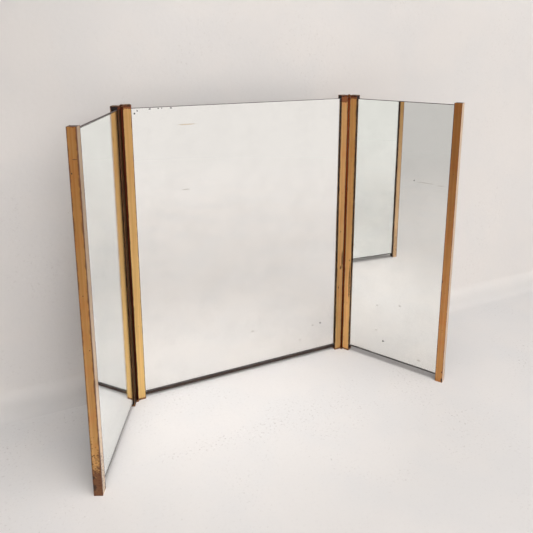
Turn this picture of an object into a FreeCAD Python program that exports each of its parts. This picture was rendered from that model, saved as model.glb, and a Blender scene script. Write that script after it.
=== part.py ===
"""A folding vanity mirror: a middle panel and two wings, each a silvered pane between brass channel rails.

Every panel is drawn in the frame of the hinge that it meets: the rod's line is the Z axis, u runs from the
edge of the panel's rail across the panel and v runs from the front of the rails backwards. A panel lies on
the +X or the -X side of its rod, which is its way, +1 or -1.
"""

import FreeCAD, Part
import os
import Sketcher

os.makedirs("parts", exist_ok=True)
doc = FreeCAD.newDocument("vanity_mirror")

# ---------------------------------------------------------------- sizes, in millimetres and degrees

sheet = doc.addObject("Spreadsheet::Sheet", "Sizes")

DRIVING = {
    "total_height": 400,
    "centre_width": 318,
    "wing_width": 158,
    "seam_gap": 2.8,
    "rod_forward": 0.4,
    "fold_left": 66,
    "fold_right": 59,
    "rail_face": 10.4,
    "rail_wall": 1.0,
    "rail_corner": 0.7,
    "outer_drop": 2.2,
    "pane_thick": 3.0,
    "pane_arris": 0.5,
    "pane_lift": 8.5,
    "pane_drop": 4.5,
    "edge_room": 1.2,
    "bedding_front": 0.4,
    "bedding_side": 1.0,
    "bedding_setback": 0.4,
    "silver_room": 0.2,
    "board_thick": 4.2,
    "board_room": 0.2,
    "board_drop": 3.0,
    "board_floor_room": 0.2,
    "cap_height": 2.5,
    "cap_skin": 1.0,
    "cap_core": 4.5,
    "foot_height": 2.5,
    "eye_radius": 2.5,
    "eye_room": 0.3,
    "lap_room": 0.05,
    "washer_thick": 0.3,
    "washer_radius": 2.3,
    "tongue_thick": 1.0,
    "tongue_length": 14,
    "tongue_room": 0.1,
    "rod_radius": 1.3,
    "rod_seat_room": 0.01,
    "rod_turn_room": 0.05,
    "rod_tip": 0.4,
    "rod_floor_room": 0.2,
    "rod_head_radius": 1.8,
    "rod_head_height": 0.9,
    "rivet_radius": 1.1,
    "rivet_room": 0.05,
    "rivet_head_radius": 1.9,
    "rivet_head_height": 0.35,
    "rivet_inset": 7,
    "block_room": 0.1,
    "block_recess": 0.2,
    "plug_recess": 0.2,
}

DERIVED = {
    "rail_depth": "2 * rail_wall + bedding_front + pane_thick + silver_room + board_thick + board_room",
    "rail_top": "total_height - cap_height",
    "outer_top": "total_height - outer_drop",
    "pane_front": "rail_wall + bedding_front",
    "pane_back": "pane_front + pane_thick",
    "board_front": "pane_back + silver_room",
    "board_back": "board_front + board_thick",
    "channel_back": "rail_depth - rail_wall",
    "pane_top": "total_height - pane_drop",
    "pane_inset": "rail_wall + edge_room",
    "axis_x": "(centre_width + seam_gap) / 2",
    "edge_x": "seam_gap / 2",
    "wing_reach": "wing_width + edge_x",
    "back_reach": "rail_depth + rod_forward",
    "left_end": "axis_x + wing_reach * cos(fold_left) + back_reach * sin(fold_left)",
    "right_end": "axis_x + wing_reach * cos(fold_right) + back_reach * sin(fold_right)",
    "left_front": "wing_reach * sin(fold_left) - rod_forward * cos(fold_left) + rod_forward",
    "right_front": "wing_reach * sin(fold_right) - rod_forward * cos(fold_right) + rod_forward",
    "middle_x": "(right_end - left_end) / 2",
    "middle_y": "(rail_depth - max(left_front; right_front)) / 2",
}


def fill_sheet():
    row = 0
    for alias, value in {**DRIVING, **{name: "=" + text for name, text in DERIVED.items()}}.items():
        row += 1
        sheet.set(f"A{row}", alias)
        sheet.set(f"B{row}", str(value))
        sheet.setAlias(f"B{row}", alias)
    doc.recompute()


def sized(text):
    """The expression text with each alias of the sheet in it spelt as Sizes.alias."""
    words = []
    word = ""
    for letter in text + " ":
        if letter.isalnum() or letter == "_":
            word += letter
            continue
        known = word in DRIVING or word in DERIVED
        words.append("Sizes." + word if known else word)
        words.append(letter)
        word = ""
    return "".join(words).strip()


# ---------------------------------------------------------------- sketches and features


def new_body(label):
    body = doc.addObject("PartDesign::Body", "Body_" + label)
    body.Label = label
    return body


def origin_plane(body, role):
    return next(f for f in body.Origin.OriginFeatures if f.Role == role)


def new_sketch(body, name, role="XY_Plane", lift=None):
    """A sketch on one of the body's origin planes, lifted off it along the plane's normal."""
    sketch = body.newObject("Sketcher::SketchObject", f"{name}_{body.Label}")
    sketch.AttachmentSupport = [(origin_plane(body, role), "")]
    sketch.MapMode = "FlatFace"
    if lift:
        sketch.setExpression("AttachmentOffset.Base.z", sized(lift))
    return sketch


def tie(sketch, constraint, text):
    """Adds a constraint whose value follows an expression."""
    index = sketch.addConstraint(constraint)
    sketch.setExpression(f"Constraints[{index}]", sized(text))


def draw_outline(sketch, corners):
    """A closed outline of straight lines. Each corner is a pair of expressions."""
    count = len(corners)
    spots = [FreeCAD.Vector(value_of(x), value_of(y), 0) for x, y in corners]
    first = sketch.GeometryCount
    for i in range(count):
        sketch.addGeometry(Part.LineSegment(spots[i], spots[(i + 1) % count]), False)
    for i in range(count):
        sketch.addConstraint(Sketcher.Constraint("Coincident", first + i, 2, first + (i + 1) % count, 1))
    for i, (x, y) in enumerate(corners):
        tie(sketch, Sketcher.Constraint("DistanceX", -1, 1, first + i, 1, spots[i].x), x)
        tie(sketch, Sketcher.Constraint("DistanceY", -1, 1, first + i, 1, spots[i].y), y)


def draw_circle(sketch, x, y, radius):
    """A circle whose centre and radius follow expressions."""
    centre = FreeCAD.Vector(value_of(x), value_of(y), 0)
    index = sketch.addGeometry(Part.Circle(centre, FreeCAD.Vector(0, 0, 1), value_of(radius)), False)
    tie(sketch, Sketcher.Constraint("DistanceX", -1, 1, index, 3, centre.x), x)
    tie(sketch, Sketcher.Constraint("DistanceY", -1, 1, index, 3, centre.y), y)
    tie(sketch, Sketcher.Constraint("Radius", index, value_of(radius)), radius)


def value_of(text):
    """The present value of an expression of the sheet's aliases."""
    return float(sheet.evalExpression(sized(text)))


def pad(body, sketch, length):
    feature = body.newObject("PartDesign::Pad", f"Pad_{sketch.Name}")
    feature.Profile = sketch
    feature.setExpression("Length", sized(length))
    sketch.Visibility = False
    doc.recompute()
    return feature


def pocket_up(body, sketch, length):
    """Cuts from the sketch along its normal. The volume must fall."""
    before = body.Shape.Volume
    feature = body.newObject("PartDesign::Pocket", f"Pocket_{sketch.Name}")
    feature.Profile = sketch
    feature.Reversed = True
    feature.setExpression("Length", sized(length))
    doc.recompute()
    check_cut(body, before)
    return feature


def pocket_through(body, sketch):
    """Cuts right through, both ways from the sketch. The volume must fall."""
    before = body.Shape.Volume
    feature = body.newObject("PartDesign::Pocket", f"Pocket_{sketch.Name}")
    feature.Profile = sketch
    feature.Type = "ThroughAll"
    feature.SideType = "Symmetric"
    doc.recompute()
    check_cut(body, before)
    return feature


def check_cut(body, before):
    if not body.Shape.Volume < before:
        raise RuntimeError(f"a cut in {body.Label} took nothing away")


def upright_edges(body, texts):
    """The names of the upright edges that stand at these plan places, each a pair of expressions."""
    spots = [(value_of(x), value_of(y)) for x, y in texts]
    names = []
    for i, edge in enumerate(body.Shape.Edges, 1):
        ends = [v.Point for v in edge.Vertexes]
        upright = len(ends) == 2 and abs(ends[0].z - ends[1].z) > 1 and (ends[0] - ends[1]).x == 0
        if upright and any(abs(ends[0].x - x) + abs(ends[0].y - y) < 0.01 for x, y in spots):
            names.append(f"Edge{i}")
    return names


def round_edges(body, names, radius):
    base = body.Tip
    feature = body.newObject("PartDesign::Fillet", "Fillet_" + body.Label)
    feature.Base = (base, names)
    feature.setExpression("Radius", sized(radius))
    doc.recompute()
    return feature


def bevel_edges(body, names, size):
    base = body.Tip
    feature = body.newObject("PartDesign::Chamfer", "Bevel_" + body.Label)
    feature.Base = (base, names)
    feature.setExpression("Size", sized(size))
    doc.recompute()
    return feature


def across(way, u):
    """The X expression of a place u across the panel that lies on this side of its pin line."""
    return f"{way} * (edge_x + {u})"


def behind(v):
    """The Y expression of a place v behind the front of the rails."""
    return f"rod_forward + {v}"


def plan_box(way, u0, u1, v0, v1):
    return [(across(way, u), behind(v)) for u, v in ((u0, v0), (u1, v0), (u1, v1), (u0, v1))]


# ---------------------------------------------------------------- placing

NODES = []


class Seat:
    """Where a panel's hinge frame stands: at the left or the right seam, turned by the wing's fold."""

    def __init__(self, side, fold=None):
        self.side = side
        self.fold = fold

    def place(self, thing):
        thing.Placement = FreeCAD.Placement(FreeCAD.Vector(), FreeCAD.Rotation(FreeCAD.Vector(0, 0, 1), 1))
        thing.setExpression("Placement.Base.x", sized(f"{self.side} * axis_x - middle_x"))
        thing.setExpression("Placement.Base.y", sized("-rod_forward - middle_y"))
        thing.setExpression("Placement.Rotation.Angle", sized(f"{-self.side} * {self.fold or 0}"))
        NODES.append(thing)


# ---------------------------------------------------------------- pieces of a panel


def make_rail(label, seat, way, u_web, opens, low, high, riveted):
    """A channel of bent sheet: the web stands at u_web and the flanges run from it in the sense of opens."""
    body = new_body(label)
    web_out = u_web
    web_in = f"({u_web} + {opens} * rail_wall)"
    lip = f"({u_web} + {opens} * rail_face)"
    corners = [
        (web_out, "0"), (lip, "0"), (lip, "rail_wall"), (web_in, "rail_wall"),
        (web_in, "channel_back"), (lip, "channel_back"), (lip, "rail_depth"), (web_out, "rail_depth"),
    ]  # fmt: skip
    sketch = new_sketch(body, "Section", lift=low)
    draw_outline(sketch, [(across(way, u), behind(v)) for u, v in corners])
    pad(body, sketch, f"{high} - ({low})")
    bends = [(across(way, web_out), behind("0")), (across(way, web_out), behind("rail_depth"))]
    round_edges(body, upright_edges(body, bends), "rail_corner")
    if riveted:
        holes = new_sketch(body, "Holes", "YZ_Plane", across(way, u_web))
        for height in (FOOT_RIVET, CAP_RIVET):
            draw_circle(holes, behind("rail_depth / 2"), height, "rivet_radius + rivet_room")
        pocket_through(body, holes)
    seat.place(body)


CAP_RIVET = "rail_top - rivet_inset"
FOOT_RIVET = "foot_height + rivet_inset"


def make_pane(label, seat, way, width):
    """The silvered glass, with its sharp front and back edges ground off."""
    body = new_body(label)
    sketch = new_sketch(body, "Plan", lift="pane_lift")
    draw_outline(sketch, plan_box(way, "pane_inset", f"{width} - pane_inset", "pane_front", "pane_back"))
    pad(body, sketch, "pane_top - pane_lift")
    faces = [f"Face{i}" for i, f in enumerate(body.Shape.Faces, 1) if abs(f.normalAt(0, 0).y) > 0.9]
    bevel_edges(body, faces, "pane_arris")
    seat.place(body)


def make_backing(label, seat, way, width, low):
    """The board behind the glass, a little lower at the top so that it stays hidden."""
    body = new_body(label)
    sketch = new_sketch(body, "Plan", lift=low)
    draw_outline(sketch, plan_box(way, "pane_inset", f"{width} - pane_inset", "board_front", "board_back"))
    pad(body, sketch, f"pane_top - board_drop - ({low})")
    seat.place(body)


def make_bedding(label, seat, way, u_web, opens, low, high):
    """A strip of L section between the rail and the glass: under the front flange and along the web."""
    body = new_body(label)
    web_in = f"({u_web} + {opens} * rail_wall)"
    glass = f"({u_web} + {opens} * (rail_wall + bedding_side))"
    lip = f"({u_web} + {opens} * (rail_face - bedding_setback))"
    corners = [
        (web_in, "rail_wall"), (lip, "rail_wall"), (lip, "pane_front"),
        (glass, "pane_front"), (glass, "pane_back"), (web_in, "pane_back"),
    ]  # fmt: skip
    sketch = new_sketch(body, "Section", lift=low)
    draw_outline(sketch, [(across(way, u), behind(v)) for u, v in corners])
    pad(body, sketch, f"{high} - ({low})")
    seat.place(body)


def make_block(label, seat, way, start, end, depth, low, high):
    """A block in the end of a channel, under the glass or over it."""
    body = new_body(label)
    sketch = new_sketch(body, "Plan", lift=low)
    draw_outline(sketch, plan_box(way, start, end, "rail_wall + block_room", f"{depth} - block_room"))
    pad(body, sketch, f"{high} - ({low})")
    seat.place(body)


def make_plug(label, seat, way, u_web):
    """Closes the top end of an outer rail, on the edge of the glass."""
    body = new_body(label)
    web_in = f"({u_web} - rail_wall)"
    lip = f"({u_web} - rail_face)"
    sketch = new_sketch(body, "Plan", lift="pane_top")
    draw_outline(sketch, plan_box(way, lip, web_in, "rail_wall", "channel_back"))
    pad(body, sketch, "outer_top - pane_top - plug_recess")
    seat.place(body)


def make_leaf(label, seat, way, upper, is_cap):
    """A cap or a foot plate of a seam rail: a plate with the rail's plan, a tongue in the channel along the
    web, and an eye round the rod, which laps over or under the eye of the other leaf."""
    body = new_body(label)
    low = "rail_top" if is_cap else "0"
    height = "cap_height" if is_cap else "foot_height"
    lap = f"(({height} - washer_thick) / 2 - lap_room)"
    own_low = f"{low} + {height} - {lap}" if upper else low
    other_low = low if upper else f"{low} + {lap}"

    plate = new_sketch(body, "Plate", lift=low)
    draw_outline(plate, plan_box(way, "0", "rail_face", "0", "rail_depth"))
    pad(body, plate, height)
    round_edges(body, upright_edges(body, [(across(way, "0"), behind("rail_depth"))]), "rail_corner")

    tongue = new_sketch(body, "Tongue", lift=f"{low} - tongue_length" if is_cap else f"{low} + {height} / 2")
    inner = "rail_wall + tongue_thick"
    front = "rail_wall + tongue_room"
    draw_outline(tongue, plan_box(way, "rail_wall", inner, front, "channel_back - tongue_room"))
    pad(body, tongue, f"tongue_length + {height} / 2")

    if is_cap:
        hollow = new_sketch(body, "Hollow", lift=low)
        draw_outline(hollow, plan_box(way, "cap_core", "rail_face", "rail_wall", "channel_back"))
        pocket_up(body, hollow, "cap_height - cap_skin")

    room = new_sketch(body, "Room", lift=other_low)
    draw_circle(room, "0", "0", "eye_radius + eye_room")
    pocket_up(body, room, f"{height} - {lap}")

    eye = new_sketch(body, "Eye", lift=own_low)
    draw_circle(eye, "0", "0", "eye_radius")
    pad(body, eye, lap)

    hole = new_sketch(body, "Rivet_hole", "YZ_Plane", across(way, "rail_wall"))
    rivet = CAP_RIVET if is_cap else FOOT_RIVET
    draw_circle(hole, behind("rail_depth / 2"), rivet, "rivet_radius + rivet_room")
    pocket_through(body, hole)

    bore = new_sketch(body, "Bore", lift=own_low)
    draw_circle(bore, "0", "0", "rod_radius + " + ("rod_turn_room" if upper else "rod_seat_room"))
    pocket_up(body, bore, lap)
    seat.place(body)


def make_rivets(label, rows):
    """The rivets of one panel. Each row is a seat and a way: one rivet at the cap and one at the foot."""
    solids = []
    for seat, way in rows:
        for height in (FOOT_RIVET, CAP_RIVET):
            body = new_body(f"rivet_{label}_{len(solids)}")
            shank = new_sketch(body, "Shank", "YZ_Plane", across(way, "0"))
            draw_circle(shank, behind("rail_depth / 2"), height, "rivet_radius")
            pad(body, shank, "rail_wall + tongue_thick").Reversed = way < 0
            head = new_sketch(body, "Head", "YZ_Plane", across(way, "0"))
            draw_circle(head, behind("rail_depth / 2"), height, "rivet_head_radius")
            pad(body, head, "rivet_head_height").Reversed = way > 0
            doc.recompute()
            seat.place(body)
            NODES.remove(body)
            solids.append(body)
    node = doc.addObject("Part::Compound", "Compound_" + label)
    node.Label = label
    node.Links = solids
    NODES.append(node)


def make_rod(label, seat):
    """The hinge rod of a seam, from the foot plates' eyes up through the caps' eyes to its domed head."""
    body = new_body(label)
    shaft = new_sketch(body, "Shaft", lift="rod_floor_room")
    draw_circle(shaft, "0", "0", "rod_radius")
    pad(body, shaft, "total_height - rod_floor_room")
    foot = [f"Edge{i}" for i, e in enumerate(body.Shape.Edges, 1) if e.Closed and e.CenterOfMass.z < 1]
    bevel_edges(body, foot, "rod_tip")
    head = new_sketch(body, "Head", lift="total_height")
    draw_circle(head, "0", "0", "rod_head_radius")
    pad(body, head, "rod_head_height")
    crown = value_of("total_height + rod_head_height") - 0.01
    rim = [f"Edge{i}" for i, e in enumerate(body.Shape.Edges, 1) if e.Closed and e.CenterOfMass.z > crown]
    round_edges(body, rim, "rod_head_height * 0.9")
    seat.place(body)


def make_washer(label, seat, low, height):
    """The thin ring between the two eyes."""
    body = new_body(label)
    ring = new_sketch(body, "Ring", lift=f"{low} + ({height} - washer_thick) / 2")
    draw_circle(ring, "0", "0", "washer_radius")
    draw_circle(ring, "0", "0", "rod_radius + rod_turn_room")
    pad(body, ring, "washer_thick")
    seat.place(body)


# ---------------------------------------------------------------- the panels


BEDDING_LOW = "foot_height + tongue_length + tongue_room"
BEDDING_HIGH = "rail_top - tongue_length - tongue_room"
BLOCK_START = "rail_wall + tongue_thick + block_room"
BLOCK_END = "rail_face - block_room"


def make_seam_side(prefix, ending, seat, way, upper):
    """What stands at a seam on one side of it. The ending tells the two sides of the middle panel apart."""
    make_leaf(prefix + "_cap" + ending, seat, way, upper, True)
    make_leaf(prefix + "_foot" + ending, seat, way, upper, False)
    packer = prefix + "_packer" + ending
    start = "cap_core + block_room"
    make_block(packer, seat, way, start, BLOCK_END, "channel_back", "pane_top", "total_height - cap_skin")


def make_wing(name, side):
    seat = Seat(side, "fold_" + name)
    way = side
    make_seam_side(name, "", seat, way, True)
    make_rail(name + "_rail_inner", seat, way, "0", 1, "foot_height", "rail_top", True)
    make_rail(name + "_rail_outer", seat, way, "wing_width", -1, "0", "outer_top", False)
    make_pane(name + "_pane", seat, way, "wing_width")
    make_backing(name + "_backing", seat, way, "wing_width", "pane_lift")
    make_bedding(name + "_bedding_inner", seat, way, "0", 1, BEDDING_LOW, BEDDING_HIGH)
    make_bedding(name + "_bedding_outer", seat, way, "wing_width", -1, "pane_lift", "pane_top")
    inner = name + "_block_inner"
    make_block(inner, seat, way, BLOCK_START, BLOCK_END, "channel_back", "foot_height", "pane_lift")
    outer = name + "_block_outer"
    lip = "wing_width - rail_face + block_room"
    web = "wing_width - rail_wall - block_room"
    make_block(outer, seat, way, lip, web, "channel_back", "block_recess", "pane_lift")
    make_plug(name + "_plug", seat, way, "wing_width")
    make_rivets(name + "_rivets", [(seat, way)])


def make_centre():
    for name, side in (("left", -1), ("right", 1)):
        seat = Seat(side)
        way = -side
        make_seam_side("centre", "_" + name, seat, way, False)
        make_rail("centre_rail_" + name, seat, way, "0", 1, "foot_height", "rail_top", True)
        make_bedding("centre_bedding_" + name, seat, way, "0", 1, BEDDING_LOW, BEDDING_HIGH)
        block = "centre_block_" + name
        make_block(block, seat, way, BLOCK_START, BLOCK_END, "pane_back", "foot_height", "pane_lift")
        make_rod(name + "_rod", seat)
        make_washer(name + "_washer_top", seat, "rail_top", "cap_height")
        make_washer(name + "_washer_foot", seat, "0", "foot_height")
    right = Seat(1)
    make_pane("centre_pane", right, -1, "centre_width")
    make_backing("centre_backing", right, -1, "centre_width", "foot_height + board_floor_room")
    make_rivets("centre_rivets", [(Seat(-1), 1), (right, -1)])


# ---------------------------------------------------------------- checks and export


def check_all():
    doc.recompute()
    for thing in doc.Objects:
        if "Invalid" in thing.State or "Error" in thing.State:
            raise RuntimeError(f"{thing.Label}: {thing.State}")
    for node in NODES:
        if node.Shape.isNull() or not node.Shape.isValid():
            raise RuntimeError(f"{node.Label} has no good shape")


def export_all():
    for node in NODES:
        node.Shape.exportStep(f"parts/{node.Label}.step")
        print(node.Label, len(node.Shape.Solids), round(node.Shape.Volume, 1))


fill_sheet()
make_centre()
make_wing("left", -1)
make_wing("right", 1)
check_all()
export_all()
print(len(NODES), "nodes, middle at", round(value_of("middle_x"), 4), round(value_of("middle_y"), 4))
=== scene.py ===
# %% [markdown]
# # A folding vanity mirror
# Three silvered panes stand between slim brass channels, and two hinge rods join them. The solids already
# have their true size and place, so this lesson dresses them: a surface to stand on, daylight, a camera, and
# one finish after another, from the plain black packing to the aged brass.

# %% Load the solids
import math

import bmesh
import bpy
from mathutils import Matrix, Vector


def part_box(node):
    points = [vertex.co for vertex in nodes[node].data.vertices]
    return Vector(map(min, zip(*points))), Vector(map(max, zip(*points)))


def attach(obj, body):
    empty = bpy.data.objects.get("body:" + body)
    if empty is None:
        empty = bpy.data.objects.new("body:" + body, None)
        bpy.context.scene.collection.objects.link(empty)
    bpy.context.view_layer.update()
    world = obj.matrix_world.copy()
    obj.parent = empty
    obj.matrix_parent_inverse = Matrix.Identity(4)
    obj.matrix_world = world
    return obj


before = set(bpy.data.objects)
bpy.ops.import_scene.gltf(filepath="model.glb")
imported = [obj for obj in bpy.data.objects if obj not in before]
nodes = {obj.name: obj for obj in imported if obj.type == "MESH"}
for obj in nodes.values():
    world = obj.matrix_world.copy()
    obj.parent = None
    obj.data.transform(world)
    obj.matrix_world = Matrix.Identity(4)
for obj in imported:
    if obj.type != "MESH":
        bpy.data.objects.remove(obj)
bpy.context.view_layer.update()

# %% [markdown]
# ## Finding each panel
# A pattern such as the grain of brass has to run with its panel, and the wings stand at an angle. Each
# panel's own directions can be read from its pane: the largest face is the front, and the board behind it
# says which way is back. From these come a turn and a shift that a Mapping node can use, so that X runs
# across the panel, Y runs from the front of the glass backwards and Z is height.

# %% Panel directions
def middle_of(name):
    low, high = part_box(name)
    return (low + high) / 2


def find_panel(name):
    """The back direction, the direction across and the middle of the front of one panel's glass."""
    pane = nodes[name + "_pane"].data
    widest = max(pane.polygons, key=lambda face: face.area)
    back = widest.normal.copy()
    if back.dot(middle_of(name + "_backing") - middle_of(name + "_pane")) < 0:
        back.negate()
    across = Vector((back.y, -back.x, 0))
    front = min(corner.co.dot(back) for corner in pane.vertices)
    middle = middle_of(name + "_pane")
    middle += back * (front - middle.dot(back))
    middle.z = 0
    return {"back": back, "across": across, "middle": middle, "turn": math.atan2(across.y, across.x)}


panels = {name: find_panel(name) for name in ("centre", "left", "right")}
for name, panel in panels.items():
    print(name, "panel is turned by", round(math.degrees(panel["turn"]), 1), "degrees")

# %% [markdown]
# ## Building materials from nodes
# A material is a small network of nodes. A few helpers keep the cells below short: they add a node and fill
# its sockets, either with a value or with a link from another node, and give back what it works out.

# %% Nodes and links
def connect(tree, value, socket):
    """Fills a socket. A value that is itself a socket becomes a link."""
    if isinstance(value, bpy.types.NodeSocket):
        tree.links.new(value, socket)
    else:
        socket.default_value = value


def fill(tree, node, **sockets):
    """Fills sockets by their names, which are written with _ for each space."""
    for key, value in sockets.items():
        connect(tree, value, node.inputs[key.replace("_", " ")])
    return node


def add_node(tree, kind, settings=None, **sockets):
    """Adds a node with its settings and fills its sockets."""
    node = tree.nodes.new(kind)
    for key, value in (settings or {}).items():
        setattr(node, key, value)
    return fill(tree, node, **sockets)


def fill_in_order(tree, node, *values):
    """Fills the first sockets of a node and gives its outputs."""
    for socket, value in zip(node.inputs, values):
        connect(tree, value, socket)
    return node.outputs


def calculate(tree, operation, *values):
    """The result of a Math node. Each value is a number or a socket."""
    return fill_in_order(tree, add_node(tree, "ShaderNodeMath", {"operation": operation}), *values)[0]


def times(tree, first, second):
    return calculate(tree, "MULTIPLY", first, second)


def one_minus(tree, value):
    return calculate(tree, "SUBTRACT", 1.0, value)


def vector_math(tree, operation, *values):
    """The outputs of a Vector Math node, which are called Vector and Value."""
    return fill_in_order(tree, add_node(tree, "ShaderNodeVectorMath", {"operation": operation}), *values)


def spread(tree, value, low, high, new_low, new_high):
    """A value's range stretched on to another range, without going past it."""
    return fill_in_order(tree, add_node(tree, "ShaderNodeMapRange"), value, low, high, new_low, new_high)[0]


print("numbers can be worked out in nodes")

# %% [markdown]
# The next helpers deal with colours and places, and the last one starts a material with its shader. Places
# are counted in metres, either in the frame that all solids share or in the directions of one panel.

# %% Colours and places
def blend_colours(tree, share, first, second, how="MIX"):
    """The second colour over the first, as much as the share says."""
    node = add_node(tree, "ShaderNodeMix", {"data_type": "RGBA", "blend_type": how}, Factor=share)
    connect(tree, first, node.inputs[6])
    connect(tree, second, node.inputs[7])
    return node.outputs[2]


def shade(tree, share, colour, factor):
    """The colour times a factor in each channel, as much as the share says."""
    return blend_colours(tree, share, colour, (*factor, 1.0), "MULTIPLY")


def coordinates(tree, kind="Object"):
    return tree.nodes.new("ShaderNodeTexCoord").outputs[kind]


def panel_coordinates(tree, panel, start=Vector((0, 0, 0))):
    """Places in the panel's own directions, counted from a start in the shared frame."""
    turned = Matrix.Rotation(-panel["turn"], 3, "Z") @ start
    turn = (0, 0, -panel["turn"])
    mapping = add_node(tree, "ShaderNodeMapping", Vector=coordinates(tree), Location=-turned, Rotation=turn)
    return mapping.outputs[0]


def split(tree, vector):
    """The X, Y and Z of a vector."""
    return add_node(tree, "ShaderNodeSeparateXYZ", Vector=vector).outputs


def add_noise(tree, place, scale, detail, roughness=0.5):
    """Clouds from nought to one. The scale is how many there are per metre."""
    node = add_node(tree, "ShaderNodeTexNoise", Vector=place, Scale=scale, Detail=detail, Roughness=roughness)
    return node.outputs["Fac"]


def add_relief(tree, shader, height, distance, strength):
    """Fine bumps in the shader's surface. The distance is their depth."""
    bump = add_node(tree, "ShaderNodeBump", Height=height, Distance=distance, Strength=strength)
    fill(tree, shader, Normal=bump.outputs[0])


def start_material(name):
    """An empty material with its Principled shader and its output."""
    material = bpy.data.materials.new(name)
    material.use_nodes = True
    tree = material.node_tree
    tree.nodes.clear()
    shader = tree.nodes.new("ShaderNodeBsdfPrincipled")
    add_node(tree, "ShaderNodeOutputMaterial", Surface=shader.outputs[0])
    return material, tree, shader


print("node helpers are ready")

# %% [markdown]
# ## Effects that several finishes share
# Old metal, wood and glass share a few marks: grain that runs one way, small round spots, stains with a
# ragged edge, single blots and dark lines along the corners of a bar. Each one is a node group with named
# inputs, built once. A group only gives a mask or a value, and each finish decides what to do with it.

# %% Group helper
def start_group(name, inputs, output):
    """A shader node group. Inputs are (name, default) pairs, and a default of None asks for a vector."""
    tree = bpy.data.node_groups.new(name, "ShaderNodeTree")
    for label, default in inputs:
        kind = "NodeSocketVector" if default is None else "NodeSocketFloat"
        socket = tree.interface.new_socket(label, in_out="INPUT", socket_type=kind)
        if default is not None:
            socket.default_value = default
    tree.interface.new_socket(output, in_out="OUTPUT", socket_type="NodeSocketFloat")
    return tree, tree.nodes.new("NodeGroupInput").outputs, tree.nodes.new("NodeGroupOutput").inputs[0]


def use_group(tree, group, **sockets):
    """Places a group in a material and gives its output."""
    return add_node(tree, "ShaderNodeGroup", {"node_tree": group}, **sockets).outputs[0]


print("groups can be built")

# %% Grain
def make_grain_group():
    """Long fine streaks along Z. Fineness is streaks per metre, and Stretch is how long they are drawn."""
    inputs = [("Vector", None), ("Fineness", 900.0), ("Stretch", 40.0)]
    tree, given, result = start_group("grain", inputs, "Grain")
    along = calculate(tree, "DIVIDE", given["Fineness"], given["Stretch"])
    scale = add_node(tree, "ShaderNodeCombineXYZ", X=given["Fineness"], Y=given["Fineness"], Z=along)
    streaks = vector_math(tree, "MULTIPLY", given["Vector"], scale.outputs[0])["Vector"]
    tree.links.new(spread(tree, add_noise(tree, streaks, 1.0, 5.0, 0.6), 0.3, 0.7, 0.0, 1.0), result)
    return tree


grain = make_grain_group()
print("grain has", len(grain.nodes), "nodes")

# %% Spots
UNEVENNESS = 0.0008


def make_spots_group():
    """Scattered round marks with uneven edges. Cells is how many places per metre may hold one, Share says
    how many of them do, and Radius is the largest one's, as a share of its cell."""
    inputs = [("Vector", None), ("Cells", 150.0), ("Share", 0.2), ("Radius", 0.25)]
    tree, given, result = start_group("spots", inputs, "Mask")
    rough = add_node(tree, "ShaderNodeTexNoise", Vector=given["Vector"], Scale=2500.0, Detail=2.0)
    pushes = (UNEVENNESS, UNEVENNESS, UNEVENNESS)
    pushed = vector_math(tree, "MULTIPLY_ADD", rough.outputs["Color"], pushes, given["Vector"])["Vector"]
    cells = add_node(tree, "ShaderNodeTexVoronoi", Vector=pushed, Scale=given["Cells"])
    chance = add_node(tree, "ShaderNodeSeparateColor", Color=cells.outputs["Color"])
    there = calculate(tree, "LESS_THAN", chance.outputs["Red"], given["Share"])
    reach = times(tree, given["Radius"], chance.outputs["Green"])
    inner = times(tree, reach, 0.5)
    mark = spread(tree, cells.outputs["Distance"], inner, reach, 1.0, 0.0)
    tree.links.new(times(tree, mark, there), result)
    return tree


spots = make_spots_group()
print("spots has", len(spots.nodes), "nodes")

# %% Ragged stain
def make_stain_group():
    """A stain that lies where Depth is above nought, in metres. Ragged is how far its edge wanders, Patches
    is how many times per metre it does so, and Soft is how wide the edge is."""
    inputs = [("Vector", None), ("Depth", 0.0), ("Ragged", 0.004), ("Patches", 200.0), ("Soft", 0.0005)]
    tree, given, result = start_group("stain", inputs, "Mask")
    lean = calculate(tree, "SUBTRACT", add_noise(tree, given["Vector"], given["Patches"], 4.0), 0.5)
    wander = times(tree, lean, given["Ragged"])
    inside = calculate(tree, "MULTIPLY_ADD", wander, 3.0, given["Depth"])
    tree.links.new(spread(tree, inside, 0.0, given["Soft"], 0.0, 1.0), result)
    return tree


stain = make_stain_group()
print("stain has", len(stain.nodes), "nodes")

# %% One blot
def make_blot_group():
    """One ragged mark. Place is its middle and Size its half lengths, both in metres."""
    inputs = [("Vector", None), ("Place", None), ("Size", None), ("Ragged", 0.9)]
    tree, given, result = start_group("blot", inputs, "Mask")
    away = vector_math(tree, "SUBTRACT", given["Vector"], given["Place"])["Vector"]
    share = vector_math(tree, "DIVIDE", away, given["Size"])["Vector"]
    reach = vector_math(tree, "LENGTH", share)["Value"]
    lean = calculate(tree, "SUBTRACT", add_noise(tree, given["Vector"], 700.0, 3.0), 0.5)
    edge = calculate(tree, "MULTIPLY_ADD", lean, given["Ragged"], reach)
    tree.links.new(spread(tree, edge, 0.7, 1.0, 1.0, 0.0), result)
    return tree


blot = make_blot_group()
print("blot has", len(blot.nodes), "nodes")

# %% Dark rims
def depths_under(tree, vector, half_width, half_depth):
    """How far a point lies under the sides and under the faces of a bar, counted from its middle."""
    parts = split(tree, vector)
    side = calculate(tree, "SUBTRACT", half_width, calculate(tree, "ABSOLUTE", parts["X"]))
    return side, calculate(tree, "SUBTRACT", half_depth, calculate(tree, "ABSOLUTE", parts["Y"]))


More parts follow.
